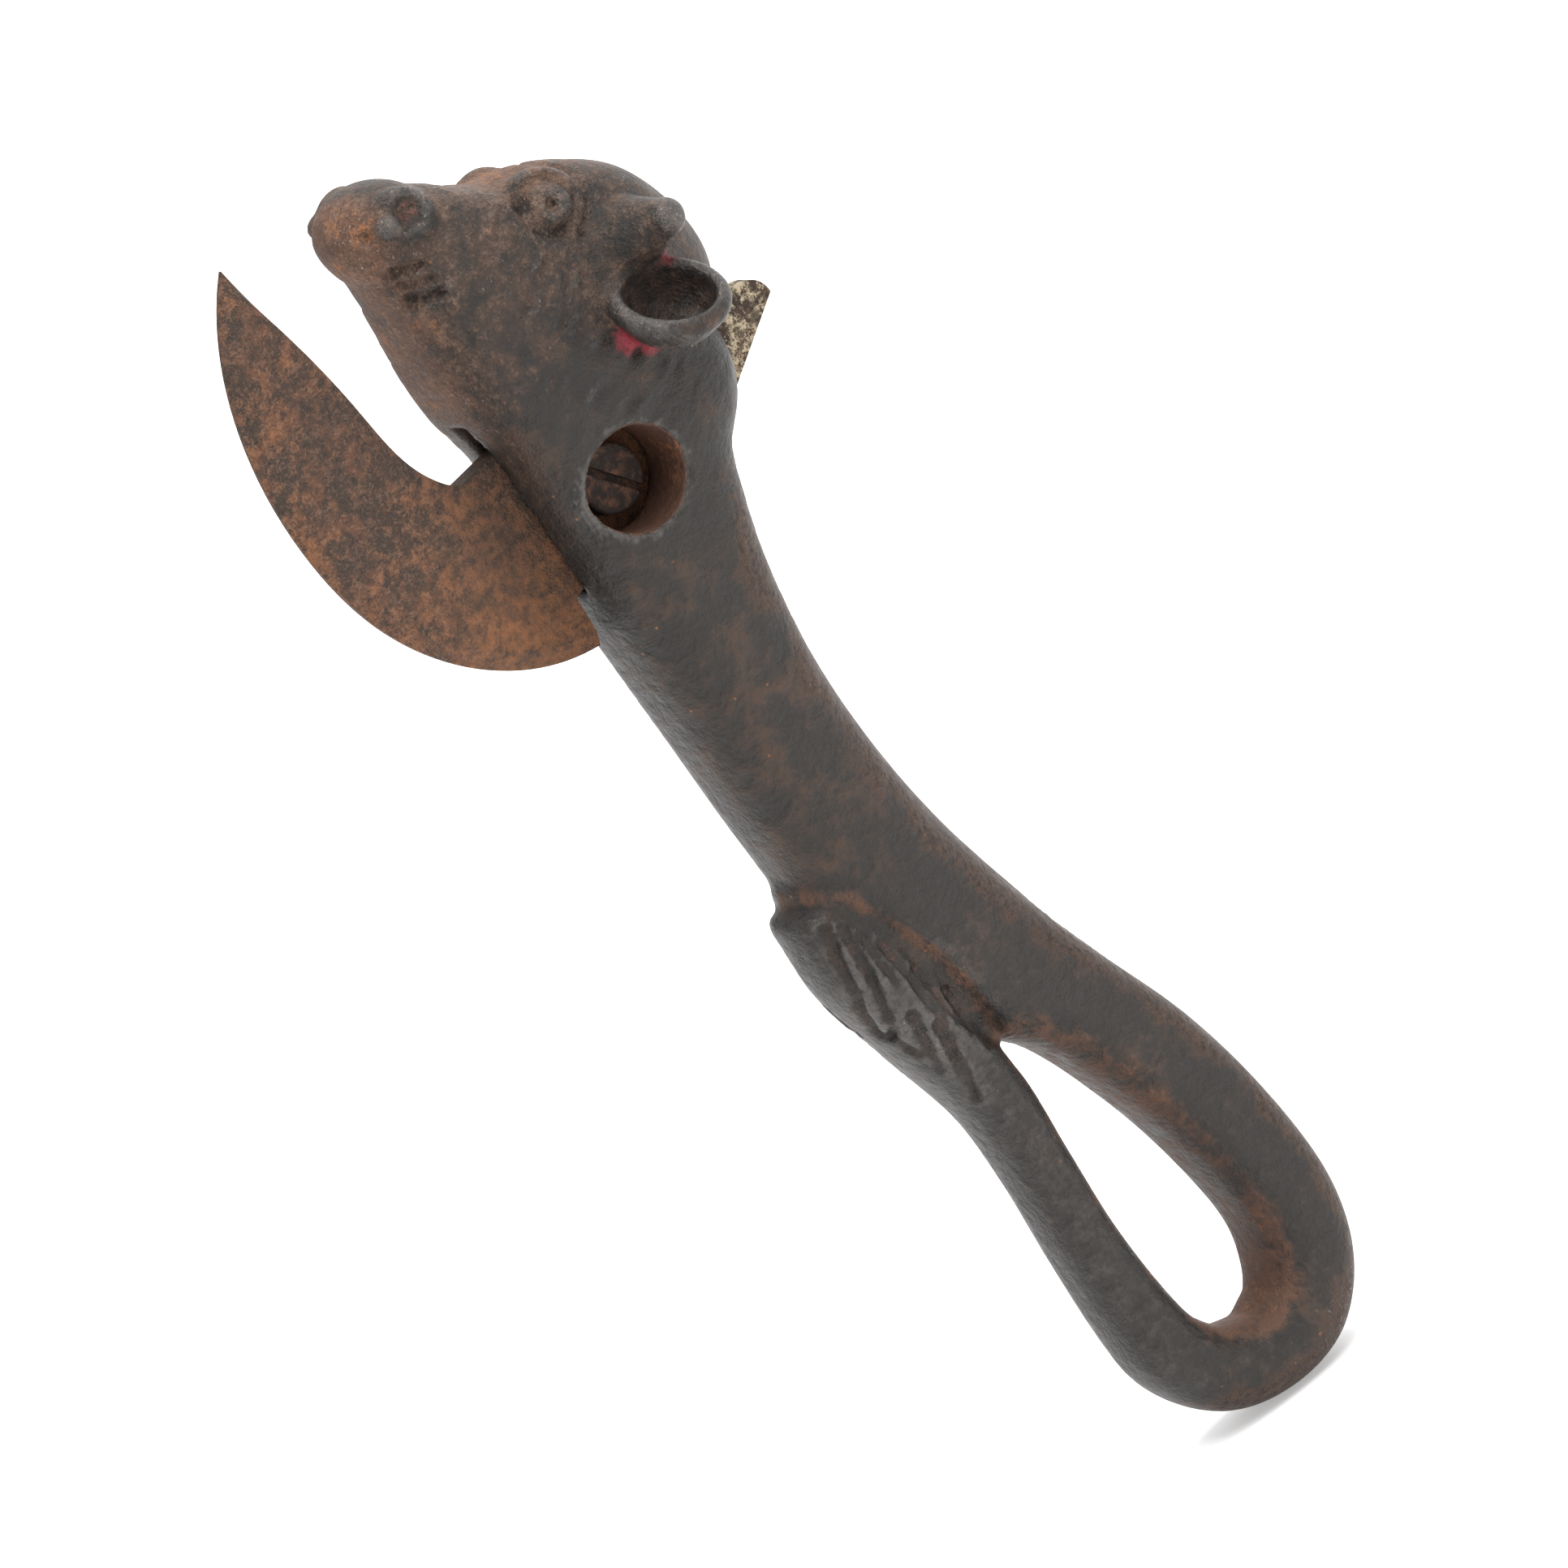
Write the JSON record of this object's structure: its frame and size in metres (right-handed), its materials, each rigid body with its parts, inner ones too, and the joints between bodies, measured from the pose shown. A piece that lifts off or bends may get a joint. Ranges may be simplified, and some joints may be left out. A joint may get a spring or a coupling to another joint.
{
  "type": "can opener",
  "caption": "Cast-iron can opener shaped as a bull: head at the top, tail curled into a hanging loop, and a crescent blade clamped through the neck by a sunk screw.",
  "frame": {"origin": "centre of the bounding box's base, under the tail loop", "axes": "+Z along the tool from the loop to the head, -X towards the muzzle and the crescent blade, -Y towards the side with the clamp screw"},
  "size_m": [0.061, 0.029, 0.1628],
  "materials": {
    "cast_iron_body": "worn dark iron with brown rust and traces of red paint",
    "blade_steel": "dark brown mottled rust",
    "screw_steel": "very dark brown rust"
  },
  "bodies": {
    "casting": {"casting": "cast_iron_body"},
    "blade": {"blade": "blade_steel"},
    "clamp_screw": {"clamp_screw": "screw_steel"}
  },
  "joints": [
    {"name": "blade_swing", "type": "hinge", "parent": "casting", "child": "blade", "pos_m": [0.00144, 0, 0.12132], "axis": [0, 1, 0], "range_deg": [0, 6]},
    {"name": "clamp_screw_turn", "type": "hinge", "parent": "casting", "child": "clamp_screw", "pos_m": [0.00144, 0, 0.12132], "axis": [0, 1, 0], "range_deg": [-360, 0]}
  ]
}
